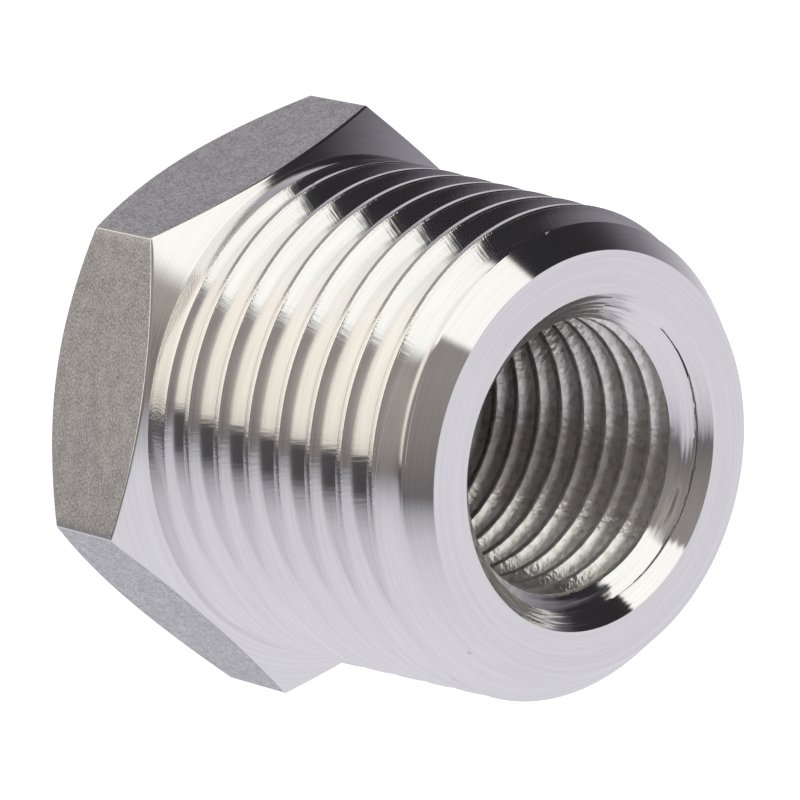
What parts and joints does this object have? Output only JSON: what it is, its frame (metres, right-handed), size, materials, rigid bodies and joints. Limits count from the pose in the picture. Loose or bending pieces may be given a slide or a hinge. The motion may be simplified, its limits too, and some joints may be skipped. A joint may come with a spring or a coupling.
{
  "type": "hex bushing",
  "caption": "Hexagon head reducing bush with a taper male pipe thread and a through female pipe thread.",
  "frame": {"origin": "centre of the hexagon's rear face, on the axis of both threads", "axes": "+Z along the axis towards the male thread's front face, +X through a corner of the hexagon, +Y across two flats"},
  "size_m": [0.0254, 0.022, 0.0214],
  "materials": {
    "steel": "turned and threaded stainless steel, grainy milled flats"
  },
  "bodies": {
    "root": {"hex_bushing": "steel"}
  },
  "joints": []
}
